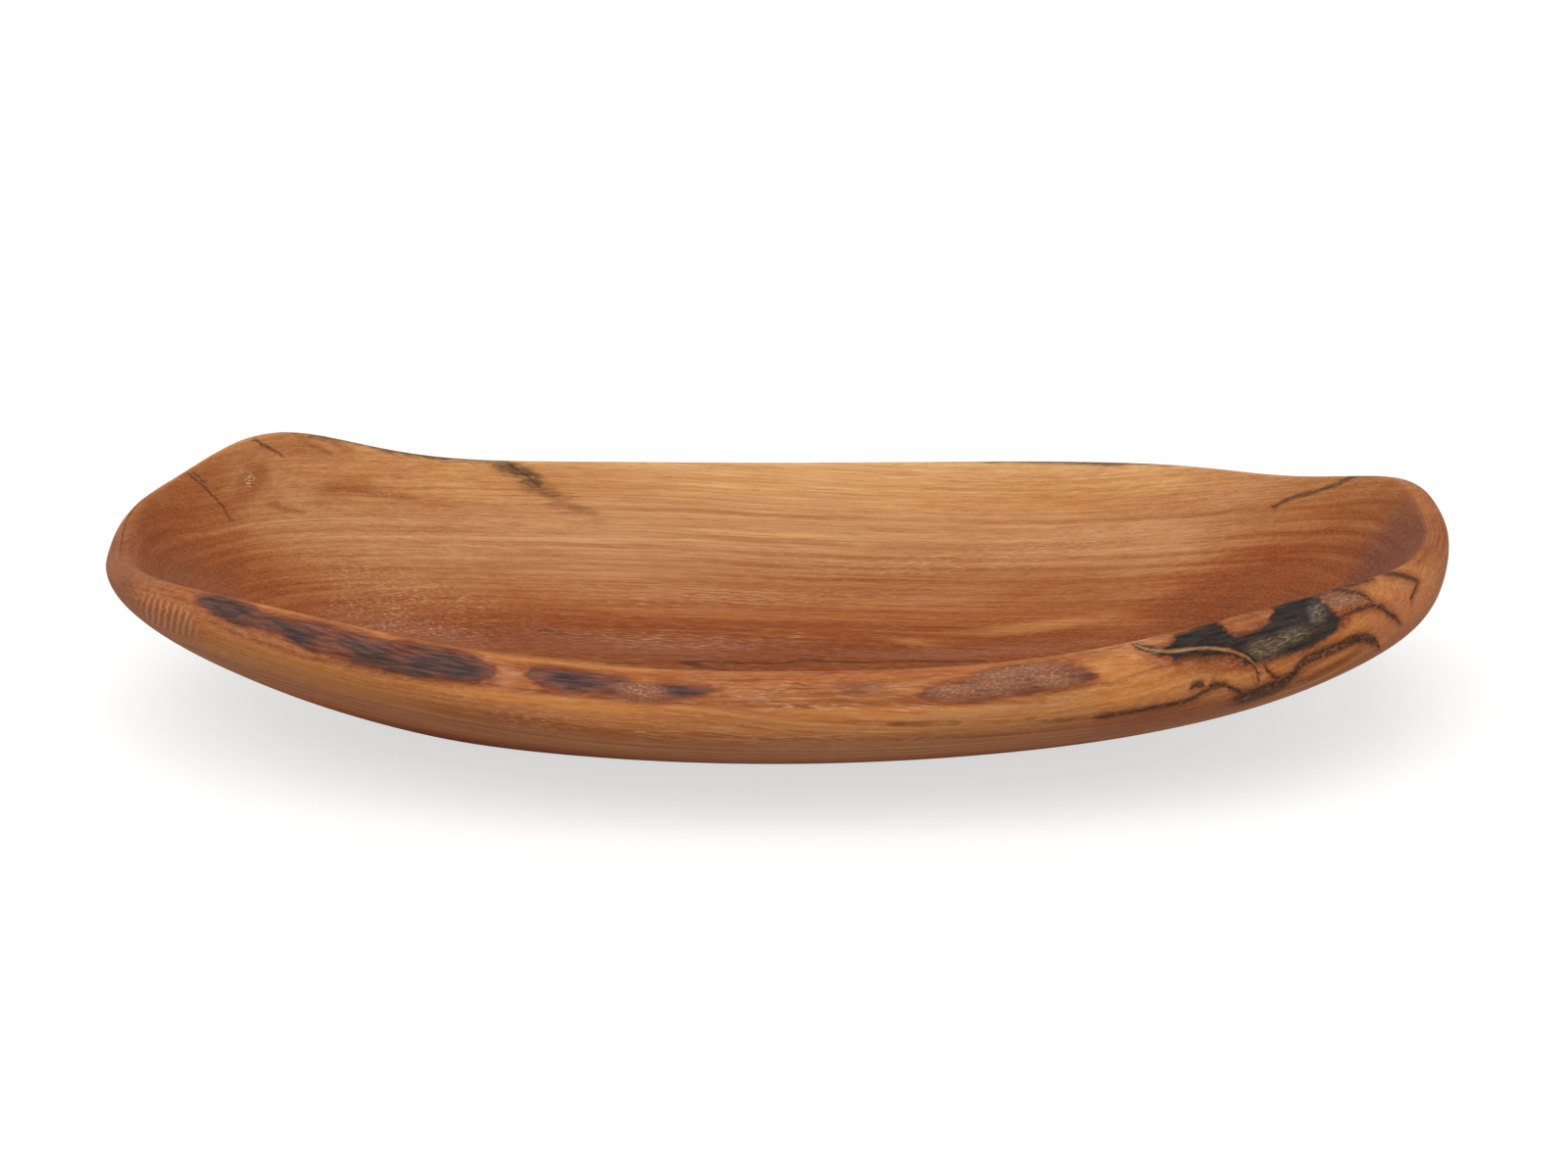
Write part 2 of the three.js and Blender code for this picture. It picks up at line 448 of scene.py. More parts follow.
def grain_group():
    """The place on the bowl and the ring it lies in, all in millimetres."""
    nodes, _ = new_group("where in the log", {}, {"Radius": float, "Grain": tuple,
                                                  "Along": float, "Across": float})
    metres = nodes.add("ShaderNodeTexCoord").outputs["Object"]
    x, y, z = nodes.split(nodes.vector("MULTIPLY", metres, (1000, 1000, 1000)))
    from_pith = nodes.minus(y, PITH_BEHIND)
    above_pith = nodes.total(z, PITH_BELOW)
    outward = nodes.join(0, from_pith, above_pith)
    length = nodes.add("ShaderNodeVectorMath", {0: outward}, operation="LENGTH")
    straight = length.outputs["Value"]
    radius = nodes.total(straight, nodes.profile(x, LOG_BEND))
    turn = nodes.math("ARCTAN2", from_pith, above_pith)
    arc = nodes.times(turn, straight)
    nodes.add("NodeGroupOutput", {"Radius": radius, "Grain": nodes.join(x, radius, arc),
                                  "Along": x, "Across": y})
    return nodes.tree


def streak_group():
    """Patches stretched along the grain: how long and how wide they are, and how sharp."""
    sizes = {"Length": 20.0, "Width": 1.0, "Around": 1.0, "Seed": 0.0, "Start": 0.4, "End": 0.6}
    nodes, given = new_group("streaks", {"Grain": (0, 0, 0), **sizes}, {"Streaks": float})
    size = nodes.join(given["Length"], given["Width"], given["Around"])
    place = nodes.vector("DIVIDE", given["Grain"], size)
    place = nodes.vector("ADD", place, nodes.join(given["Seed"], given["Seed"], 0))
    mask = nodes.step(nodes.noise(place, detail=2), given["Start"], given["End"])
    nodes.add("NodeGroupOutput", {"Streaks": mask})
    return nodes.tree


GRAIN = grain_group()
STREAKS = streak_group()
print("groups:", [group.name for group in bpy.data.node_groups if group.type == "SHADER"])

# %% Start the wood's material
wood.node_tree.nodes.clear()
nodes = WoodNodes(wood.node_tree)
where = nodes.add("ShaderNodeGroup", node_tree=GRAIN).outputs
grain, along, across = where["Grain"], where["Along"], where["Across"]
# Shorter names for the helpers of the wood's own tree.
times, total, minus, most = nodes.times, nodes.total, nodes.minus, nodes.most
step, mix, profile = nodes.step, nodes.mix, nodes.profile


def kept(name):
    """A number kept on each point of the mesh."""
    return nodes.add("ShaderNodeAttribute", attribute_name=name).outputs["Fac"]


crest_gap = kept("from_crest")
rim_gap = kept("rim_place")
depth = times(crest_gap, -1)
rim = nodes.join(along, rim_gap, 0)


def scaled(value, amount, middle=0.0):
    """How far a value lies above its middle, times an amount."""
    return times(minus(value, middle), amount)


def paint(colour, new_colour, mask, strength=1.0):
    return mix(scaled(mask, strength), colour, new_colour)


def tinted(colour, tint, mask=1.0):
    """The colour multiplied by a tint, where the mask is on."""
    return mix(mask, colour, tint, blend="MULTIPLY")


def streaks(length, width, start, end, around=None, seed=0.0, place=grain):
    """Streaks along the grain, which reach this far around the log.

    Their noise counts as nothing below start and as full above end.
    """
    sizes = {"Grain": place, "Length": length, "Width": width, "Around": around or width,
             "Seed": seed, "Start": start, "End": end}
    return nodes.add("ShaderNodeGroup", sizes, node_tree=STREAKS).outputs[0]


print("started on", wood.name)

# %% [markdown]
# ## Three flat maps to place marks on
# A mark on a curved bowl is easy to place once the bowl is laid flat. The rim map has the place
# along the bowl and the distance from the crest. The wall map is the same for the back wall of
# the hollow, and the floor map is the hollow seen from above. Broad marks are ovals on a map.
# How far each point lies from the nearest oval is worked out here and kept on the mesh, which
# costs the material one node where every oval would cost it ten. The shader tears their edges.

# %% Put ovals on the bowl
# Marks on the front fade out over this distance behind the middle, and the other way round.
MAP_FADE = 12
# On the floor map, the outside of the bowl counts as this many times as far away as it is.
OUTSIDE_FACTOR = 9
FAR_AWAY = 9.0
# The rim map starts this far out, where the face begins, and has caught up with the distance
# from the crest at its middle.
FACE_STARTS = [(-200, 0), (-172, 2), (-125, 1.8), (-108, 0), (95, 0), (108, 2.4), (178, 2.6),
               (200, 1)]
MAP_CATCHES_UP = 12
point_along, point_across, _ = positions(surface).T / MM
start_of_face = np.interp(point_along, *zip(*FACE_STARTS))
rim_place = distance + start_of_face * np.clip(1 - distance / MAP_CATCHES_UP, 0, 1)
keep(surface, "rim_place", rim_place)
RIM = (point_along, rim_place, np.maximum(point_across, 0))
WALL = (point_along, -distance, np.maximum(-point_across, 0))
FLOOR = (point_along, point_across, OUTSIDE_FACTOR * np.maximum(distance, 0))
print("rim map from", np.min(RIM, axis=1).round(), "to", np.max(RIM, axis=1).round(), "mm")


def torn_edge(place):
    """A noise from -0.6 to 0.6 that tears edges along the grain, finely and broadly."""
    fine = streaks(5, 0.8, 0, 1, around=1.2, seed=9, place=place)
    broad = streaks(13, 2.6, 0, 1, around=3, seed=13, place=place)
    return scaled(total(fine, broad), 0.6, 1)


TORN_RIM = torn_edge(rim)
TORN_HOLLOW = torn_edge(grain)


def patches(name, place, ovals, soft=0.25, ragged=0.5, fade=MAP_FADE):
    """The union of ovals, each (middle, middle, half length, half width, turn in degrees)."""
    reach = np.full(len(distance), FAR_AWAY)
    for first, second, half_length, half_width, turn in ovals:
        c, s = math.cos(math.radians(turn)), math.sin(math.radians(turn))
        right, up = place[0] - first, place[1] - second
        local = ((right * c + up * s) / half_length, (up * c - right * s) / half_width,
                 place[2] / fade)
        reach = np.minimum(reach, np.linalg.norm(local, axis=0))
    keep(surface, name, reach)
    torn = total(kept(name), scaled(TORN_RIM if place is RIM else TORN_HOLLOW, ragged))
    return step(torn, 1 + soft, 1 - soft)


# %% [markdown]
# ## The bare wood
# The colour follows the rings: dark and red near the middle of the log, pale gold near its
# outside. On the side that carries the natural edge, and at both ends, the dark wood reaches
# further out, so the tone is looked up some millimetres further in there. Finer things are laid
# over it: lines that follow a ring, long fibres, and pores. The dark fibres are redder as well
# as darker, as they are on the real bowl.

# %% Tones from the log's middle outwards
def srgb(red, green, blue):
    """A colour written in 0 to 255 steps, as the shader's linear values."""
    def linear(step):
        share = step / 255
        return share / 12.92 if share <= 0.04045 else ((share + 0.055) / 1.055) ** 2.4
    return (linear(red), linear(green), linear(blue), 1.0)


RING_TONES = [
    (58, srgb(131, 66, 30)), (68, srgb(142, 76, 37)), (74, srgb(148, 79, 37)),
    (80, srgb(160, 92, 47)), (87, srgb(170, 105, 58)), (95, srgb(181, 121, 72)),
    (103, srgb(190, 134, 84)), (111, srgb(199, 145, 94)), (118, srgb(201, 144, 90)),
    (123, srgb(208, 152, 96)), (129, srgb(217, 163, 105)), (135, srgb(219, 166, 107))]
# How much further in the tone is looked up, from front to back and from end to end.
DARKER_IN_FRONT = [(-90, 31), (-45, 31), (-20, 22), (5, 3), (30, 0), (90, 0)]
DARKER_AT_ENDS = [
    (-200, 36), (-175, 33), (-160, 18), (-143, 8), (-125, 2), (-105, 0), (110, 0), (130, 8),
    (150, 16), (172, 27), (200, 36)]
# Rings that stand out: above zero they are paler than their neighbours, below zero darker.
RING_ACCENTS = [
    (77, 0), (78.5, -0.8), (80, 0), (84, 0), (85.3, -0.7), (86.6, 0), (95.4, 0), (96.6, -0.9),
    (98, 0.1), (100.4, 0), (101.3, -0.7), (102.3, 0), (103.6, 0.5), (104.4, 0), (105.4, -0.7),
    (106.4, 0), (107.9, 0.7), (109, 0), (110.2, -0.7), (111.1, 0.1), (112.4, 1), (113.6, 0.2),
    (115, -0.4), (117, 0), (118.2, -1), (119.4, 0), (124, 0.1), (128, 0.3), (132, 0)]
RED_END = [(158, 44, 40, 24, -20)]
RED_RING = srgb(158, 84, 36)
print(len(RING_TONES), "tones, from", RING_TONES[0][0], "to", RING_TONES[-1][0], "mm out")

# %% Colour of the rings
front = step(across, 9, 2)
front_half = step(across, 55, 5)
belly = times(front_half, step(crest_gap, 5, 12))
bend = scaled(streaks(70, 25, 0, 1, around=40, seed=3), 3.0, 0.5)
radius = total(where["Radius"], bend)
lines = streaks(130, 1.5, 0.15, 0.85, around=60, seed=5)
fine_lines = streaks(90, 0.6, 0.3, 0.7, around=30, seed=8)
broad = streaks(60, 6, 0.1, 0.9, around=9, seed=7)
presence = streaks(45, 6, 0.2, 0.7, around=30, seed=11)
red_end = patches("red_end", WALL, RED_END, soft=0.45, ragged=0.3, fade=60)
at_ends = times(profile(along, DARKER_AT_ENDS), step(belly, 0, 1, 1, 0))
# Painted light: low on the belly the tone moves back out, so the wood is paler there, as if lit
# from the floor.
in_front = times(profile(across, DARKER_IN_FRONT),
                 step(crest_gap, -6, -1, 0.5, 1),
                 step(crest_gap, 12, 38, 1, 0.35))
further_in = most(in_front, at_ends, scaled(red_end, 27))
accent = times(profile(radius, RING_ACCENTS), presence)
tone = total(minus(radius, further_in), scaled(lines, 11, 0.5),
             scaled(fine_lines, 4, 0.5), scaled(broad, 11, 0.5), scaled(accent, 8))
colour = nodes.ramp(tone, RING_TONES)
dark_ring = most(scaled(accent, -1), 0)
colour = paint(colour, RED_RING, dark_ring, 0.5)
print("nodes so far:", len(wood.node_tree.nodes))

# %% Fibres and pores
DARK_FIBRE = (0.78, 0.58, 0.42, 1)
PALE_FIBRE = (1.18, 1.38, 1.60, 1)
PORE = srgb(108, 54, 24)

fibres = streaks(24, 0.6, 0.3, 0.7, around=1.5, seed=1)
threads = streaks(45, 1.1, 0.3, 0.7, around=3, seed=6)
hairs = streaks(11, 0.3, 0.3, 0.7, around=0.8, seed=2)
pale_share = total(scaled(fibres, 0.3), scaled(threads, 0.22), scaled(hairs, 0.26),
                   scaled(fine_lines, 0.22))
fibre_tint = mix(pale_share, DARK_FIBRE, PALE_FIBRE)
pores = streaks(4.5, 0.28, 0.6, 0.74, seed=4)
colour = paint(colour, PORE, pores, 0.22)
print("the bare wood has", len(wood.node_tree.nodes), "nodes")

# %% [markdown]
# ## What the log left on the rim
# The natural edge is where the bowl shows its history. Bark and a dark stain run along the
# left half, a speckled patch sits right of the middle, and at the right two rotten knots were
# sealed by seams of resin. The warm and pale places come first, and they are ovals. Every edge
# is torn by the same streaky noise. All of it stays editable, and no picture is wrapped round.

# %% Warm and pale places in the wood
ORANGE = [
    (-168, 3.4, 7, 2.4, 0), (-45, 2.2, 30, 1.8, 0), (30, 2.6, 40, 1.8, 0), (-112, 0.6, 30, 1.2, 0),
    (-163, 11, 5, 3, 0)]
GOLD = [
    (97, 6.8, 9, 4.4, 0), (101, 14.2, 15, 3.6, 0), (175, 6.4, 8, 2.8, 18), (144, 17.5, 7.5, 3, -6),
    (163, 13.2, 13, 2.4, -8), (159, 19.6, 6.5, 1, -12), (130, 17, 5, 2.2, 35),
    (-60, 12.5, 45, 1.4, 0), (30, 12.6, 30, 1.3, 0), (-136, 16, 36, 4.6, 3), (-66, 0.9, 26, 0.9, 0),
    (187, 11, 7, 6, 0), (181, 4.4, 7, 2, 8), (-145, 1.9, 22, 0.8, 2), (-112, 1.5, 10, 0.7, 0)]
PINK = [
    (-146, 10.2, 19, 1.7, 3), (-76, 7.2, 4, 3.2, 0), (-8, 8.2, 5, 1.3, 0), (103, 1.2, 4, 1.8, 0),
    (103, 2.6, 3.4, 1, 20), (186, 13, 12, 6, 0), (180, 17, 9, 5.5, 0)]
TIP = [(-193, 5, 13, 9, 0)]
RED_BELLY = [(112, 25, 30, 5, -4), (126, 13.6, 9, 1.4, 14), (156, 22, 10, 1.4, -12)]
# Each kind of place: name, ovals, colour, softness of edge and strength.
RIM_PLACES = [
    ("orange", ORANGE, srgb(170, 92, 44), 0.6, 0.6), ("gold", GOLD, srgb(198, 130, 70), 0.6, 0.7),
    ("pink", PINK, srgb(190, 122, 84), 0.6, 0.68),
    ("red_belly", RED_BELLY, srgb(132, 64, 30), 0.6, 0.6),
    ("left_tip", TIP, srgb(150, 94, 64), 0.8, 0.55)]
FACE_WOOD = srgb(172, 98, 48)
DEEP_BROWN = srgb(112, 52, 24)
FACE_BLOTCH = srgb(128, 68, 42)

face = times(front, step(crest_gap, 11.4, 9.4), step(crest_gap, -0.6, 0.4))
rim_lines = streaks(26, 0.7, 0.4, 0.7, around=1, seed=17, place=rim)
blotches = streaks(14, 1.8, 0.45, 0.7, around=1, seed=61, place=rim)
colour = paint(colour, FACE_WOOD, face, 0.6)
colour = paint(colour, DEEP_BROWN, times(face, rim_lines), 0.6)
colour = paint(colour, FACE_BLOTCH, times(face, blotches), 0.5)
for name, ovals, wood_colour, soft, strength in RIM_PLACES:
    colour = paint(colour, wood_colour, patches(name, RIM, ovals, soft), strength)
print("ovals on the rim:", {name: len(ovals) for name, ovals, *_ in RIM_PLACES})

# %% [markdown]
# ## Stain and rot
# On the real bowl a long dark stain follows the natural edge, and at the right two knots have
# rotted black. Their outlines are too crooked for ovals, so each lies between two curves along
# the rim, one for its top and one for its bottom. Beyond its ends a curve keeps its last value,
# so there the two have crossed and lie far apart, and nothing lies between them.

# %% The long stain
STAIN_TOP = [
    (-172, 20), (-170, 9), (-166, 5), (-163, 3.1), (-158, 2.4), (-150, 2.8), (-147, 4.2),
    (-141, 4.6), (-135, 4.1), (-128, 3.2), (-120, 3.4), (-113, 3.3), (-107, 1.9), (-100, 1),
    (-92, 1), (-86, 1.9), (-82, 3.6), (-79, 6.4), (-75, 8), (-71, 6), (-69, 3.1), (-64, 2.3),
    (-56, 2.5), (-48, 3.2), (-42, 4.2), (-37, 5.6), (-30, 5.2), (-24, 5.3), (-19, 6), (-15, 7.2),
    (-10, 9), (30, 9), (38, 8.6), (44, 6.6), (50, 5.6), (55, 4.4), (60, 2.7), (65, 1.9), (72, 2),
    (78, 3), (83, 4.1), (87, 6), (92, 9.5), (94, 20)]
STAIN_BOTTOM = [
    (-172, -4), (-170, 6), (-166, 6.4), (-163, 7.4), (-156, 8.3), (-148, 8.8), (-141, 9.3),
    (-135, 10.2), (-128, 11.1), (-118, 11.5), (-108, 11.4), (-100, 11), (-92, 10.6), (-85, 9.8),
    (-81, 8), (-79, 6.6), (-75, 6), (-71, 6.4), (-69, 7.4), (-64, 8.8), (-56, 9.3), (-48, 9.5),
    (-42, 10), (-35, 10.2), (-28, 9.2), (-23, 8.4), (-18, 7.4), (-10, 6), (30, 7), (38, 8.8),
    (44, 10.2), (50, 10.8), (57, 11.3), (65, 11), (75, 10.8), (82, 10.2), (88, 9.6), (92, 8.5),
    (94, -4)]
STAIN_HALO = srgb(140, 70, 36)
STAIN_DARK = srgb(84, 53, 47)
STAIN_PALE = srgb(132, 81, 63)
STAIN_EDGE = srgb(126, 62, 40)


def between(top, bottom):
    """How deep a place of the rim lies between two curves, less than zero outside them."""
    torn = total(rim_gap, scaled(TORN_RIM, 1.6))
    shifted = total(along, scaled(streaks(3, 2, 0, 1, seed=51, place=rim), 4, 0.5))
    below_top = minus(torn, profile(shifted, top))
    above_bottom = minus(profile(shifted, bottom), torn)
    return nodes.math("MINIMUM", below_top, above_bottom)


def at_front(depth_in, start, end):
    """A mask that comes on as the depth goes from start to end, on the front alone."""
    return times(step(depth_in, start, end), front)


stain_depth = between(STAIN_TOP, STAIN_BOTTOM)
stain = at_front(stain_depth, -0.7, 0.5)
colour = paint(colour, STAIN_HALO, at_front(stain_depth, -2.6, -0.2), 0.5)
mottle = streaks(7, 0.9, 0.3, 0.66, around=0.9, seed=21, place=rim)
stain_colour = mix(mottle, STAIN_DARK, STAIN_PALE)
stain_colour = paint(stain_colour, STAIN_EDGE, step(stain_depth, 1.3, 0), 0.5)
colour = paint(colour, stain_colour, stain, 0.95)
print("the stain runs from", STAIN_TOP[0][0], "to", STAIN_TOP[-1][0], "mm along the rim")

# %% The ink in the stain and the speckled patch
BLUE_BLACK = [
    (-158, 5.2, 8, 2.9, 10), (-137, 7.4, 7, 2.3, 8), (-114, 8.2, 8, 3.2, 5), (-93, 6.6, 11, 3.4, 0),
    (-58, 6, 8, 2.2, 5), (-27, 7, 7, 1.6, 5), (-101, 10, 8, 1, 0)]
SPECKLED = [(62, 5.6, 8, 4.2, 0), (76, 5, 8, 4, 30), (50, 8, 7, 2.6, 0), (-38, 7.6, 6, 2.8, 0)]
INK = srgb(50, 50, 50)
SPECKLED_WOOD = srgb(148, 96, 68)
FLECK = srgb(196, 148, 112)

inky = times(patches("blue_black", RIM, BLUE_BLACK, soft=0.5, ragged=1.3),
             step(mottle, 1, 0.1, 0.6, 1))
colour = paint(colour, INK, inky, 0.86)
speckled = times(patches("speckled", RIM, SPECKLED, soft=0.7), stain)
colour = paint(colour, SPECKLED_WOOD, speckled, 0.68)
flecks = streaks(1.4, 0.32, 0.5, 0.66, around=0.4, seed=23, place=rim)
colour = paint(colour, FLECK, times(speckled, flecks), 0.7)
print("ovals of ink:", len(BLUE_BLACK), "and of speckled wood:", len(SPECKLED))

# %% The knots at the right
KNOT_TOP = [
    (106, 20), (108, 9), (110, 7.2), (111.5, 5), (114, 3.6), (119, 3), (123, 2.6), (126, 3.6),
    (127.6, 5.2), (129, 6.8), (133, 7.7), (137, 7.4), (140, 6.8), (141.2, 5), (142, 3.2),
    (146, 2.8), (151, 3), (154.5, 3.6), (157.5, 6), (160, 8.8), (162.5, 10.6), (165, 12), (168, 20)]
KNOT_BOTTOM = [
    (106, -4), (108, 7), (110.5, 7.4), (113, 9.2), (118, 9.5), (122, 10.2), (127, 11.2),
    (131, 12.6), (134.5, 14.2), (138, 14.8), (146, 15), (151, 14.9), (155, 14), (159, 12.6),
    (162.5, 10.9), (165, 9), (168, -4)]
TAN_IN_KNOT = [
    (139, 12.2, 5, 2, 3), (154.6, 7.4, 2.6, 1.5, 50), (147, 11, 5, 1.4, 0), (163, 5.4, 5, 1.8, 15)]
PURPLE = [(163.5, 5.8, 6.5, 2.6, 12), (-190, 5.4, 3, 1.8, 0), (24, 6, 7, 2, 0)]
SINGED_FAR = srgb(150, 78, 36)
SINGED_NEAR = srgb(100, 52, 34)
ROT_DARK = srgb(27, 26, 26)
ROT_PALE = srgb(52, 48, 44)
PURPLE_WOOD = srgb(118, 70, 54)
TAN_WOOD = srgb(116, 102, 86)
TAN_GRAIN = srgb(186, 160, 132)

knot_depth = between(KNOT_TOP, KNOT_BOTTOM)
knot = at_front(knot_depth, -0.8, 0.6)
colour = paint(colour, SINGED_FAR, at_front(knot_depth, -5.5, -0.5), 0.5)
colour = paint(colour, SINGED_NEAR, at_front(knot_depth, -2, 0), 0.75)
colour = paint(colour, mix(mottle, ROT_DARK, ROT_PALE), knot, 0.97)
colour = paint(colour, PURPLE_WOOD, patches("purple_rim", RIM, PURPLE, soft=0.7), 0.6)
grains = streaks(1.9, 0.4, 0.44, 0.68, around=0.5, seed=31, place=rim)
tan = patches("tan_in_knot", RIM, TAN_IN_KNOT, soft=0.9)
colour = paint(colour, TAN_WOOD, tan, 0.45)
colour = paint(colour, TAN_GRAIN, times(tan, grains), 0.5)
print("the knots lie from", KNOT_TOP[0][0], "to", KNOT_TOP[-1][0], "mm along the rim")

# %% [markdown]
# ## Seams, cracks and thin lines
# Seams of resin and bark close round the knots, and thin black and brown lines run beside them
# and through the hollow. Each is drawn as a line through a few points of a map, with a width of
# its own and tapered ends. One curve holds a whole row of lines, as long as each ends before the
# next one starts, because a material with one curve for every line is too large to render.

# %% Lines through points of a map
ROW_GAP = 5
LONGEST_TAPER = 4.0
# Between two lines of a row, the width drops to this within a short run.
NO_WIDTH = -6
SHORT_RUN = 2
LINE_WAVE = 0.9


def rows_of(lines):
    """Sorts lines into rows, in which each line ends before the next one starts."""
    rows = []
    for line in sorted(lines, key=lambda line: line[1][0][0]):
        start = line[1][0][0]
        row = next((row for row in rows if row[-1][1][-1][0] + ROW_GAP < start), None)
        if row is None:
            rows.append([line])
        else:
            row.append(line)
    return rows


def line_depth(lines, out=rim_gap, torn=TORN_RIM):
    """How deep a place lies in the nearest line (width, points), less than zero beside it."""
    union = -FAR_AWAY
    for row in rows_of(lines):
        path, half = [], []
        for width, line in row:
            start, end = line[0][0], line[-1][0]
            taper = min(LONGEST_TAPER, (end - start) / 3)
            path += line
            half += [(start - SHORT_RUN, NO_WIDTH), (start, 0), (start + taper, width / 2),
                     (end - taper, width / 2), (end, 0), (end + SHORT_RUN, NO_WIDTH)]
        wavy = total(out, scaled(torn, LINE_WAVE))
        away = nodes.math("ABSOLUTE", minus(wavy, profile(along, path)))
        in_line = minus(profile(along, half), away)
        union = most(union, in_line)
    return union


print("two lines of a row lie at least", ROW_GAP, "mm apart")

# %% Seams, cracks and dark lines
RESIN_SEAM = [
    (100.5, 1.4), (104, 4.4), (108, 6.2), (112, 7), (118, 7.7), (123, 8.7), (128, 10.1),
    (131, 11.4), (134, 13.2), (136, 15.2), (137.6, 18)]
BARK_SEAM = [
    (130, 22.4), (136, 23.3), (140, 22.8), (145, 21.6), (148, 19.6), (151, 17.8), (156, 17),
    (161, 16.6), (166, 16), (169, 16.3), (171.5, 17.4), (173.3, 19), (174.3, 21)]
BLACK_LINES = [
    (0.9, [(90, 19.2), (100, 19.5), (110, 19.7), (117, 19.7), (121, 18.6), (126, 18), (129, 19.6),
           (132, 21.2), (137, 22.8)]),
    (1.3, [(117, 17), (118.5, 16.4), (120, 16.6), (121.4, 17.2)]),
    (1.2, [(122.6, 17.4), (124.6, 17.6), (126.4, 18.2)]),
    (0.7, [(161, 9.9), (167, 9.2), (170, 9.1), (173, 9.8), (175, 10.9)]),
    (1.1, [(173, 9.8), (176, 11.6), (178.5, 13.3), (180.6, 15.6)]),
    (1.0, [(175, 2.4), (180, 4.2), (184, 6), (187, 7.5)]),
    (0.8, [(183.5, 10.2), (185.3, 8.8), (187, 7.3)]),
    (0.8, [(134, 13.2), (136.4, 16), (137.4, 19.6)]),
    (0.9, [(138.6, 15.8), (140.4, 18.4), (143.6, 20.4)]),
    (0.7, [(159, 3.2), (164, 4.2), (168.6, 6.2), (172, 8.8)]),
    (0.6, [(153, 3), (160, 2.8), (166, 3), (173, 3.4)])]
BROWN_LINES = [
    (0.8, [(119, 10.8), (126, 12), (130, 13.6), (133.5, 16), (135.8, 18.5), (137, 21.5)]),
    (0.7, [(138.4, 15.6), (140.3, 18.2), (143, 19.8), (147, 20)]),
    (0.7, [(148, 22.8), (156, 21.9), (163, 20.5), (169, 19)]),
    (1.2, [(31, 15.4), (36, 15.6), (42, 15.9), (52, 16.4)]),
    (0.8, [(70, 17), (78, 18), (86, 18.9), (96, 19.4)]),
    (0.7, [(126, 2.6), (131, 2.4), (137, 2.6), (142, 2.9)]),
    (0.5, [(-168, 8.4), (-150, 10.9), (-133, 12), (-118, 12.2), (-100, 11.6), (-85, 10.3),
           (-70, 9.8), (-50, 9.9), (-40, 10.5), (-20, 10.4), (0, 10.8), (20, 10.6), (40, 11),
           (60, 11.5), (85, 10.5), (100, 11.5)])]
ROT_BELOW = [(139, 22.6, 9, 2.2, -6)]
LINE_HALO = srgb(128, 60, 28)
LINE_BROWN = srgb(78, 42, 26)
LINE_BLACK = srgb(38, 27, 24)
RESIN = srgb(182, 134, 92)
BARK_CRUMB = srgb(168, 128, 88)

broken = streaks(6, 1, 0.25, 0.6, around=1, seed=27, place=rim)
brown_lines = at_front(line_depth(BROWN_LINES), -0.7, 0.4)
colour = paint(colour, DEEP_BROWN, times(brown_lines, broken), 0.6)
dark_lines = BLACK_LINES + [(1.9, RESIN_SEAM), (2.3, BARK_SEAM)]
black_depth = line_depth(dark_lines)
beside_knot = step(knot_depth, 0.5, -1)
colour = paint(colour, LINE_HALO, times(at_front(black_depth, -2.2, 0), beside_knot), 0.55)
rot = patches("rot", RIM, ROT_BELOW, soft=0.6)
black_lines = most(at_front(black_depth, -0.6, 0.4), rot)
colour = paint(colour, mix(broken, LINE_BROWN, LINE_BLACK), black_lines, 0.88)
resin = at_front(line_depth([(0.7, RESIN_SEAM)]), -0.3, 0.3)
colour = paint(colour, RESIN, times(resin, step(grains, -1, 0.6)), 0.8)
bark = at_front(line_depth([(1.3, BARK_SEAM)]), -0.4, 0.4)
bark = times(bark, step(broken, 0.9, 0.3), grains)
colour = paint(colour, BARK_CRUMB, bark, 0.6)
print("lines on the rim:", len(dark_lines), "dark and", len(BROWN_LINES), "brown")

# %% [markdown]
# ## Marks in the hollow
# Inside, the wood is amber towards the ends, and redder in streaks near both ends and along the
# back of the floor. The right tip is stained, and cracks run in from the crest. The same ovals
# and lines serve here, on the wall map and the floor map. A mask keeps them inside the crest, so
# that nothing spills over the rim.

# %% Warm, red and stained places in the hollow
AMBER_FLOOR = [(82, 0, 66, 22, 0), (-20, 28, 120, 8, 0), (92, 48, 36, 11, -8), (40, 60, 56, 8, 0)]
AMBER_WALL = [
    (-136, 8, 44, 14, 0), (-76, 6, 34, 6, 0), (170, 18, 36, 22, 0), (-182, 6, 18, 9, 0),
    (100, 12, 46, 6, 0)]
RED_WALL = [
    (-178, 3, 13, 5, 0), (-149, 4, 13, 3.4, 10), (-135, 15, 9, 3.4, -22), (-181, 8, 10, 6, 40),
    (158, 25, 9, 2.4, -8), (140, 40, 4, 7, 25), (133, 42, 4.5, 3, -35), (-162, 8, 7, 2, 50)]
RED_FLOOR = [
    (-45, 38, 36, 4.5, 0), (8, 39, 7, 4, 0), (20, 34.5, 8, 2.6, -10), (34, 33, 3, 1.6, 0),
    (136, 31, 8, 3.4, 25), (5, 42, 3, 2, 0), (152, 20, 12, 5, 30)]
PURPLE_FLOOR = [
    (-172, -4, 16, 18, 0), (-110, 20, 26, 7, 0), (-42, 27, 42, 6, 0), (-74, 35, 2.4, 2.4, 0),
    (60, 22, 40, 3, -4)]
GOLD_FLOOR = [(78, 33.4, 22, 3, 1), (42, 30, 8, 1.6, -15), (-68, 15.4, 24, 1.4, -2)]
END_STAIN = [(184, -4, 13, 19, -6)]
AMBER_TINT = (0.81, 0.67, 0.55, 1)
RED_WOOD = srgb(146, 70, 30)
PURPLE_BLOOM = srgb(150, 94, 68)
GOLD_WOOD = srgb(204, 140, 76)
STAINED_END = srgb(112, 66, 50)
inside = step(crest_gap, 0.6, -0.6)


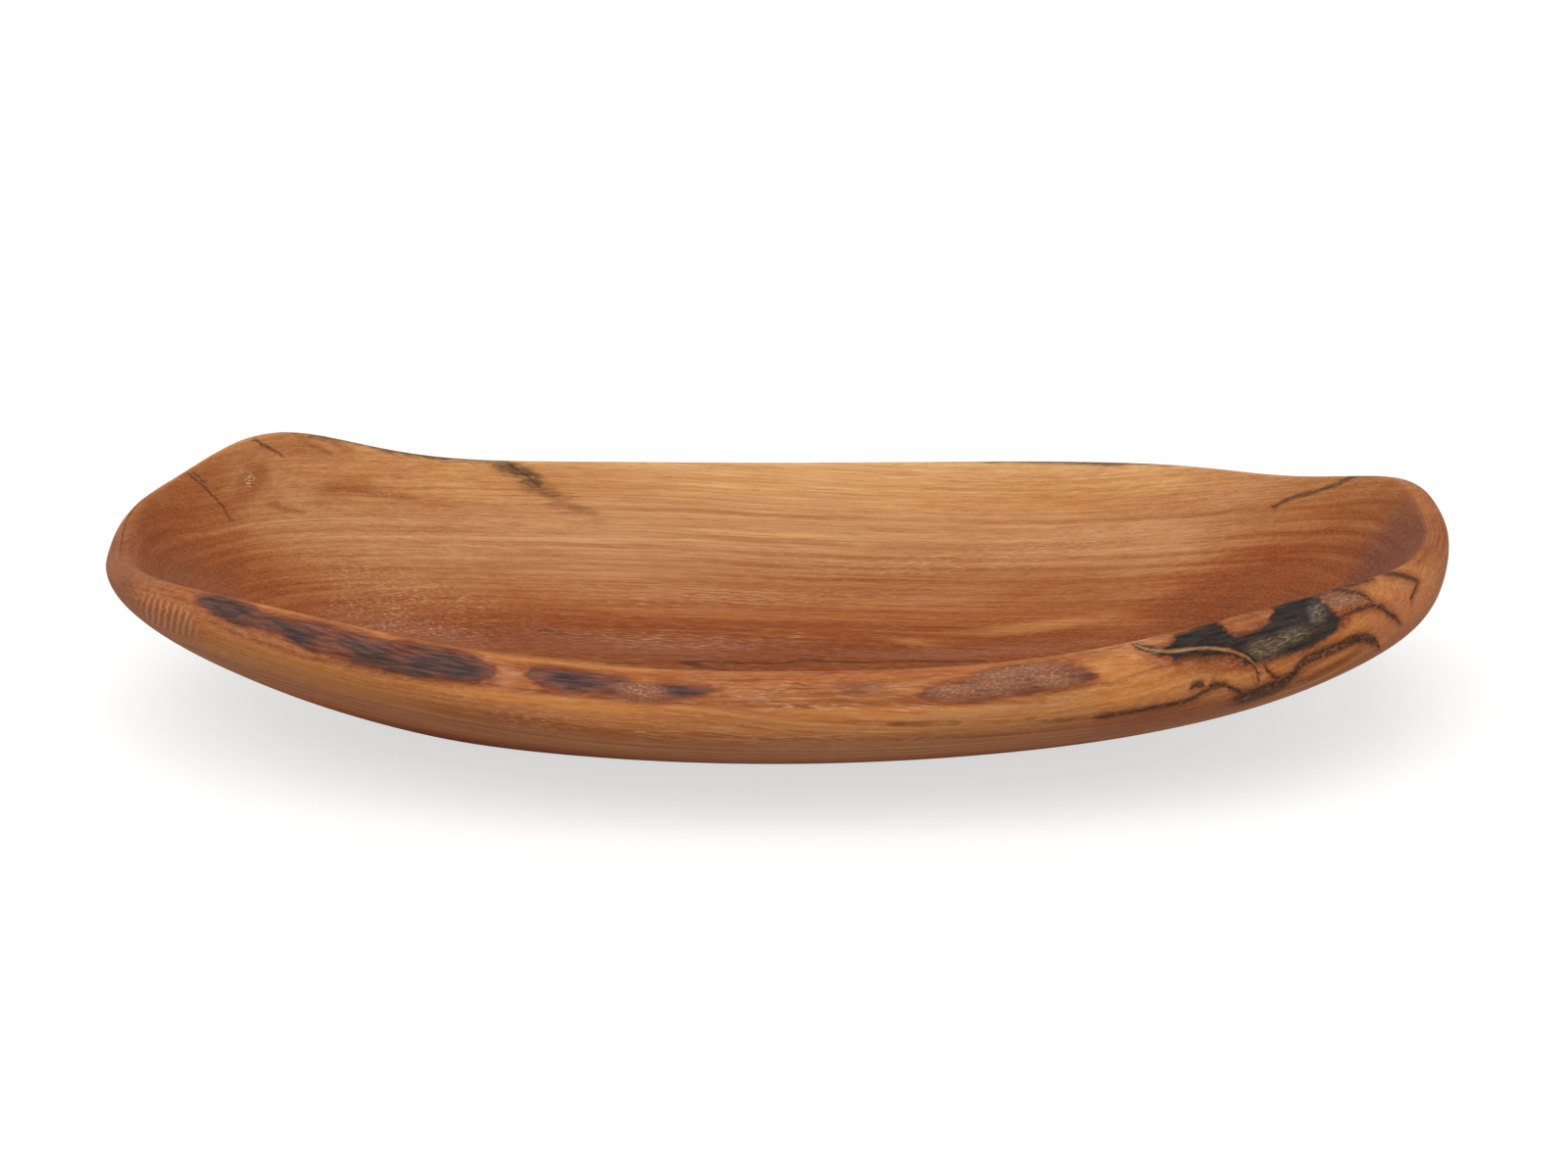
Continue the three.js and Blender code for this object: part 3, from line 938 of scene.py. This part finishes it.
def in_hollow(name, place, ovals, soft, ragged=0.5, fade=MAP_FADE):
    return times(patches(name, place, ovals, soft, ragged, fade), inside)


amber = most(in_hollow("amber_floor", FLOOR, AMBER_FLOOR, 0.8),
             in_hollow("amber_wall", WALL, AMBER_WALL, 0.8))
colour = tinted(colour, AMBER_TINT, scaled(amber, 0.9))
red = most(in_hollow("red_wall", WALL, RED_WALL, 0.7),
           in_hollow("red_floor", FLOOR, RED_FLOOR, 0.7))
colour = paint(colour, RED_WOOD, times(red, step(fibres, -0.6, 1)), 0.6)
bloom = in_hollow("purple_floor", FLOOR, PURPLE_FLOOR, 0.7)
colour = paint(colour, PURPLE_BLOOM, bloom, 0.52)
colour = paint(colour, GOLD_WOOD, in_hollow("gold_floor", FLOOR, GOLD_FLOOR, 0.9), 0.5)
end_stain = in_hollow("end_stain", FLOOR, END_STAIN, 0.45, 0.4, fade=60)
colour = paint(colour, STAINED_END, end_stain, 0.7)
print("red places:", len(RED_WALL), "on the wall and", len(RED_FLOOR), "on the floor")

# %% Cracks and lines in the hollow
WALL_BLACK = [
    (0.7, [(-181.5, 0.5), (-177, 6), (-172.5, 12.5), (-169.5, 17), (-166.5, 20.5)]),
    (0.5, [(-180, 1), (-178, 3.2), (-175.5, 5.6)]),
    (1.0, [(-163, 0.6), (-160, 2.6), (-156.5, 5.2), (-153, 7.6)]),
    (1.3, [(152.5, 10.6), (156, 9), (160, 7), (165, 5.5), (170, 3.8), (175, 1.8), (180, 0)]),
    (0.8, [(-88, -0.5), (-85, 1.2), (-82, 3), (-78, 5.6), (-74, 8)])]
WALL_BROWN = [
    (1.6, [(-158, 20), (-155, 22), (-151.5, 24.2), (-146, 25)]),
    (1.0, [(-150, 1), (-145, 3.5), (-139, 5.5)]),
    (0.9, [(-144, 0), (-139, 2.2), (-133, 3.4)]),
    (1.6, [(-142, 17.6), (-134, 15.8), (-125, 15.2), (-112, 14.4)])]
FLOOR_BLACK = [
    (1.0, [(-30, 18.4), (-22, 20.2), (-8, 19.4), (4, 19.8), (6.5, 21.2), (15, 20.4), (25, 19.4),
           (40, 19), (55, 17.5), (64, 15.8)]),
    (1.0, [(-74, 30.4), (-70, 31.2), (-65, 30.2)]),
    (0.9, [(-23, 17), (-19, 15.6), (-14, 14.3)]),
    (0.7, [(-53, 15.8), (-48, 16.6), (-43, 16.6)])]
FLOOR_BROWN = [
    (1.0, [(54, 36.2), (66, 36.6), (80, 37), (90, 36.6), (100, 34)]),
    (1.0, [(50, 32.4), (62, 30.6), (76, 29.5), (95, 30)]),
    (0.9, [(56, 27.6), (70, 27), (84, 26)]),
    (1.4, [(-82, 38), (-60, 39.5), (-30, 39), (-5, 38)]),
    (1.2, [(-78, 36), (-50, 36.8), (-15, 36)]),
    (1.2, [(-85, 41), (-60, 43), (-30, 42), (0, 41.5), (30, 40)]),
    (1.6, [(86, 25), (97, 21.8), (107, 18.4), (118, 16)]),
    (1.0, [(124.5, 33), (130.6, 34.2), (138, 36.2), (145.5, 35.2)]),
    (1.2, [(135, 26), (141, 30), (147, 30.4), (152, 29.8)]),
    (0.8, [(148, 20), (152, 27), (158, 32), (164, 31)])]
DARK_SPOT = [(-26, 18, 4, 1.6, -15)]
REDDISH_LINE = srgb(132, 64, 28)
CRACK = srgb(56, 35, 24)
back = step(across, -2, 2)


def hollow_lines(lines_wall, lines_floor, start, end):
    on_wall = step(line_depth(lines_wall, depth, TORN_HOLLOW), start, end)
    on_floor = step(line_depth(lines_floor, across, TORN_HOLLOW), start, end)
    return most(times(on_wall, back), times(on_floor, inside))


broken_inside = streaks(7, 0.8, 0.2, 0.6, around=1, seed=29)
brown_inside = times(hollow_lines(WALL_BROWN, FLOOR_BROWN, -1.3, 0.9), broken_inside)
colour = paint(colour, REDDISH_LINE, brown_inside, 0.6)
spot = in_hollow("dark_spot", FLOOR, DARK_SPOT, 0.6)
black_inside = most(hollow_lines(WALL_BLACK, FLOOR_BLACK, -0.6, 0.5), spot)
black_inside = times(black_inside, step(broken_inside, -0.6, 0.6))
colour = paint(colour, CRACK, black_inside, 0.75)
print("lines on the wall:", len(WALL_BLACK + WALL_BROWN), "and on the floor:",
      len(FLOOR_BLACK + FLOOR_BROWN))

# %% Soot and bark at the back
SOOTY = [(-82.5, 3.4, 8.5, 2.4, 31)]
SOOT_FADING = [(-71, 11, 12, 2.4, 27)]
BARK_EDGE = [(-122, -1.4, 33, 3.2, 0), (92, -1.9, 34, 2.8, 0)]
SOOT_BROWN = srgb(112, 66, 34)
SOOT_BLACK = srgb(70, 48, 32)
BARK_BROWN = srgb(60, 40, 32)

fading = in_hollow("soot_fading", WALL, SOOT_FADING, 0.9, 2.2)
colour = paint(colour, SOOT_BROWN, fading, 0.5)
colour = paint(colour, SOOT_BLACK, in_hollow("sooty", WALL, SOOTY, 0.9, 2.2), 0.8)
bark_edge = patches("bark_edge", WALL, BARK_EDGE, soft=0.3, ragged=0.6)
colour = paint(colour, BARK_BROWN, bark_edge, 0.85)
print("bark lies along the crest in", len(BARK_EDGE), "places")

# %% The small eye in the left end
EYE_HALO = [(-162.5, 12.5, 4.6, 4.4, 20)]
EYE_HEART = [(-163.4, 11.4, 1.4, 2.4, 12)]
EYE_RED = srgb(140, 72, 34)
EYE_BROWN = srgb(120, 62, 32)
EYE_FIBRE = srgb(216, 170, 112)

colour = paint(colour, EYE_RED, in_hollow("eye_halo", WALL, EYE_HALO, 0.6), 0.55)
eye = in_hollow("eye_heart", WALL, EYE_HEART, 0.3, 0.6)
colour = paint(colour, EYE_BROWN, eye, 0.7)
colour = paint(colour, EYE_FIBRE, times(eye, step(hairs, 0.4, 0.6)), 0.8)
print("nodes so far:", len(wood.node_tree.nodes))

# %% [markdown]
# ## Fibres over everything
# A stain soaks into the wood, and its fibres still show. So the fibres are laid over all the
# marks, as a tint that multiplies what lies under it. The belly is tinted first: a little darker
# and warmer under the rim. Low down, where it faces the floor, it is made brighter and redder:
# that is painted light, standing in for light thrown up from the floor.

# %% Let the fibres run through all of it
UPPER_BELLY_TINT = (0.94, 0.86, 0.74, 1)
# Painted light: brighter and redder low on the belly, as if lit from the floor below.
LOW_BELLY_PAINTED_LIGHT = (1.15, 1.0, 0.8, 1)

upper_belly = times(belly, step(crest_gap, 32, 18))
colour = tinted(colour, UPPER_BELLY_TINT, upper_belly)
# Painted light from the floor, on the low belly.
low_belly = times(front_half, step(crest_gap, 20, 50))
colour = tinted(colour, LOW_BELLY_PAINTED_LIGHT, low_belly)
colour = tinted(colour, fibre_tint)
print("fibres tint the wood from", DARK_FIBRE[:3], "to", PALE_FIBRE[:3])

# %% [markdown]
# ## Tool marks, scuffs and gloss
# A rasp has left slanting marks near the left tip, and where the wood is dry it shows pale
# scuffs. The rasp's teeth are a sine wave along a slanted distance, kept inside one oval.
# Roughness and a shallow bump come from masks that are there already, so a pore or a crack is
# sunk where it is dark, and a scuff is dull where it is pale. The larger forms are geometry.

# %% Rasp marks and dry scuffs
RASPED = [(-175.5, 10.3, 9.5, 3.3, 6)]
SCUFFED_RIM = [
    (-70, 18.2, 12, 2.6, 0), (-34, 19.2, 9, 1.6, 0), (4, 21, 24, 3, 0), (38, 12.4, 10, 1, 0),
    (39, 21.2, 13, 2, 0), (-158, 17, 10, 2.4, 0), (3, 6, 4, 2, 0), (-8, 7.6, 4, 1.4, 0),
    (98, 4, 6, 2.4, 20), (104, 1.2, 4, 2, 0), (8, 11, 12, 0.8, 0)]
SCUFFED_FLOOR = [
    (-114, 38, 24, 6, 0), (-105, 24, 14, 4, 0), (-122, 28, 12, 8, 0), (-30, 31, 26, 4, 0),
    (6, 33, 2.4, 3, 0), (-20, 52, 40, 4, 0), (60, 62, 50, 3, 0)]
TEETH_APART = 2.1
TEETH_SLANT = 0.45
RASPED_WOOD = srgb(152, 80, 40)
TOOTH_MARK = srgb(202, 146, 108)
DRY_WOOD = srgb(214, 174, 142)

rasp_zone = patches("rasped", RIM, RASPED, soft=0.25, ragged=0.4)
slanted = total(along, scaled(rim_gap, TEETH_SLANT), scaled(TORN_RIM, 1.5))
teeth = nodes.math("SINE", scaled(slanted, 2 * math.pi / TEETH_APART))
teeth = times(step(teeth, -0.5, 0.8), rasp_zone)
colour = paint(colour, RASPED_WOOD, rasp_zone, 0.65)
colour = paint(colour, TOOTH_MARK, teeth, 0.5)
dry = streaks(5, 0.3, 0.5, 0.68, around=0.5, seed=41)
scuffed = most(patches("scuffed_rim", RIM, SCUFFED_RIM, soft=0.9, ragged=1.2),
               patches("scuffed_floor", FLOOR, SCUFFED_FLOOR, soft=0.9, ragged=1.0))
decayed = most(stain, knot)
scuffs = times(total(scaled(scuffed, 0.7), 0.3), dry,
               step(decayed, -0.2, 1, 1, 0.12))
colour = paint(colour, DRY_WOOD, scuffs, 0.62)
print("scuffed places:", len(SCUFFED_RIM), "on the rim and", len(SCUFFED_FLOOR), "in the hollow")

# %% Roughness, relief and the finished shader
SHEEN = 0.13
BARE_ROUGHNESS = 0.58
RELIEF_DEPTH = 0.25 * MM
RELIEF_STRENGTH = 0.6

rough = total(BARE_ROUGHNESS, scaled(fibres, 0.1), scaled(scuffs, 0.2),
              scaled(decayed, 0.12), scaled(low_belly, 0.25))
sunk = total(scaled(pores, 0.5), scaled(most(black_lines, black_inside), 1.2))
raised = total(scaled(fibres, 0.25), scaled(hairs, 0.2), teeth)
height = minus(raised, sunk)
relief = nodes.add("ShaderNodeBump", {"Strength": RELIEF_STRENGTH, "Distance": RELIEF_DEPTH,
                                      "Height": height})
shader = nodes.add("ShaderNodeBsdfPrincipled", {"Base Color": colour, "Roughness": rough,
                                                "Specular IOR Level": SHEEN,
                                                "Normal": relief.outputs[0]})
nodes.add("ShaderNodeOutputMaterial", {"Surface": shader.outputs[0]})
print("the wood's material has", len(wood.node_tree.nodes), "nodes")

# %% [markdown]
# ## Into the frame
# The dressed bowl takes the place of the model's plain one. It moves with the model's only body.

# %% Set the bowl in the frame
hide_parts("carved_bowl")
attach(bowl, "root")
print(bowl.name, "takes the place of carved_bowl")
